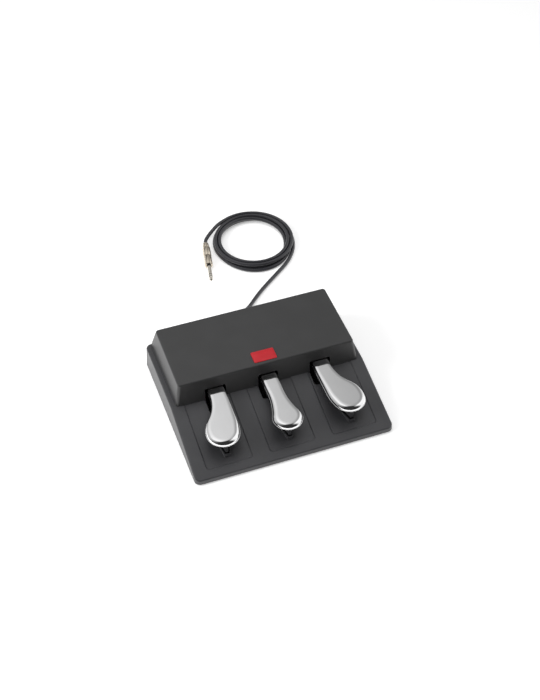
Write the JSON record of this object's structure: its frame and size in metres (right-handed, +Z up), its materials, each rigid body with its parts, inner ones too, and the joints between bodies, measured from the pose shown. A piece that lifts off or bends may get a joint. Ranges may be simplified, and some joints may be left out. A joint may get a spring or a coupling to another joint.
{
  "type": "triple foot pedal controller",
  "caption": "Low wedge housing with sprung chrome foot pedals, geared rotary sensors and a coiled lead with a jack plug.",
  "frame": {"origin": "on the floor under the middle of the housing", "axes": "+X to the player's right along the row of pedals, +Y to the back where the cord leaves, +Z up"},
  "size_m": [0.3136, 0.5224, 0.0763],
  "materials": {
    "deck_plastic": "fine-textured black moulding",
    "hood_plastic": "fine-textured black moulding",
    "pedal_chrome": "polished plating",
    "lever_plastic": "black glass-filled moulding",
    "badge_red": "domed, deep red",
    "plate_steel": "zinc-plated sheet",
    "bracket_steel": "pressed and zinc-plated",
    "foot_rubber": "black",
    "screw_steel": "zinc-plated",
    "pin_steel": "ground",
    "bush_acetal": "natural acetal",
    "spring_steel": "music wire",
    "seat_nylon": "black nylon",
    "gear_acetal": "natural acetal",
    "sensor_shell": "dark blue moulding",
    "shaft_brass": "turned",
    "pad_rubber": "soft grey",
    "board_green": "solder-masked laminate",
    "chip_black": "moulded packages",
    "socket_white": "nylon",
    "standoff_brass": "turned",
    "lead_jacket": "thin grey jacket",
    "cord_jacket": "satin black jacket",
    "relief_rubber": "black",
    "plug_nickel": "warm satin nickel",
    "plug_contact": "bright nickel",
    "plug_black": "black insulator"
  },
  "bodies": {
    "housing": {"deck_shell": "deck_plastic", "hood_shell": "hood_plastic", "badge": "badge_red", "bottom_plate": "plate_steel", "rubber_feet": "foot_rubber", "housing_screws": "screw_steel", "bracket_screws": "screw_steel", "pin_clips": "pin_steel", "sensor_nuts": "screw_steel", "spring_seats": "seat_nylon", "circuit_board": "board_green", "board_standoffs": "standoff_brass", "board_screws": "screw_steel", "board_chips": "chip_black", "board_connectors": "socket_white", "inner_leads": "lead_jacket", "strain_relief": "relief_rubber", "cord_coil": "cord_jacket", "cord_lead": "cord_jacket", "cord_tail": "cord_jacket", "plug_rear_cap": "plug_nickel", "plug_barrel": "plug_nickel", "plug_insulators": "plug_black", "plug_shaft": "plug_contact", "pivot_pin_left": "pin_steel", "pivot_bracket_left": "bracket_steel", "stop_pads_left": "pad_rubber", "return_spring_left": "spring_steel", "sensor_body_left": "sensor_shell", "pivot_pin_centre": "pin_steel", "pivot_bracket_centre": "bracket_steel", "stop_pads_centre": "pad_rubber", "return_spring_centre": "spring_steel", "sensor_body_centre": "sensor_shell", "pivot_pin_right": "pin_steel", "pivot_bracket_right": "bracket_steel", "stop_pads_right": "pad_rubber", "return_spring_right": "spring_steel", "sensor_body_right": "sensor_shell"},
    "pedal_left": {"pedal_cap_left": "pedal_chrome", "pedal_lever_left": "lever_plastic", "pivot_bushes_left": "bush_acetal", "sector_gear_left": "gear_acetal", "gear_screws_left": "screw_steel"},
    "sensor_left": {"pinion_left": "gear_acetal", "sensor_shaft_left": "shaft_brass"},
    "pedal_centre": {"pedal_cap_centre": "pedal_chrome", "pedal_lever_centre": "lever_plastic", "pivot_bushes_centre": "bush_acetal", "sector_gear_centre": "gear_acetal", "gear_screws_centre": "screw_steel"},
    "sensor_centre": {"pinion_centre": "gear_acetal", "sensor_shaft_centre": "shaft_brass"},
    "pedal_right": {"pedal_cap_right": "pedal_chrome", "pedal_lever_right": "lever_plastic", "pivot_bushes_right": "bush_acetal", "sector_gear_right": "gear_acetal", "gear_screws_right": "screw_steel"},
    "sensor_right": {"pinion_right": "gear_acetal", "sensor_shaft_right": "shaft_brass"}
  },
  "joints": [
    {"name": "pedal_left_press", "type": "hinge", "parent": "housing", "child": "pedal_left", "pos_m": [-0.0805, 0.035, 0.04], "axis": [1, 0, 0], "range_deg": [0, 6], "stiffness_Nm_per_rad": 8, "springref_deg": -8.02, "deforming": ["return_spring_left"]},
    {"name": "sensor_left_turn", "type": "hinge", "parent": "housing", "child": "sensor_left", "pos_m": [-0.0805, 0.083, 0.04], "axis": [1, 0, 0], "range_deg": [-30, 0]},
    {"name": "pedal_centre_press", "type": "hinge", "parent": "housing", "child": "pedal_centre", "pos_m": [0, 0.035, 0.04], "axis": [1, 0, 0], "range_deg": [0, 6], "stiffness_Nm_per_rad": 8, "springref_deg": -8.02, "deforming": ["return_spring_centre"]},
    {"name": "sensor_centre_turn", "type": "hinge", "parent": "housing", "child": "sensor_centre", "pos_m": [0, 0.083, 0.04], "axis": [1, 0, 0], "range_deg": [-30, 0]},
    {"name": "pedal_right_press", "type": "hinge", "parent": "housing", "child": "pedal_right", "pos_m": [0.0805, 0.035, 0.04], "axis": [1, 0, 0], "range_deg": [0, 6], "stiffness_Nm_per_rad": 8, "springref_deg": -8.02, "deforming": ["return_spring_right"]},
    {"name": "sensor_right_turn", "type": "hinge", "parent": "housing", "child": "sensor_right", "pos_m": [0.0805, 0.083, 0.04], "axis": [1, 0, 0], "range_deg": [-30, 0]}
  ],
  "couplings": [
    {"joint": "sensor_left_turn", "follows": "pedal_left_press", "ratio": -5},
    {"joint": "sensor_centre_turn", "follows": "pedal_centre_press", "ratio": -5},
    {"joint": "sensor_right_turn", "follows": "pedal_right_press", "ratio": -5}
  ]
}
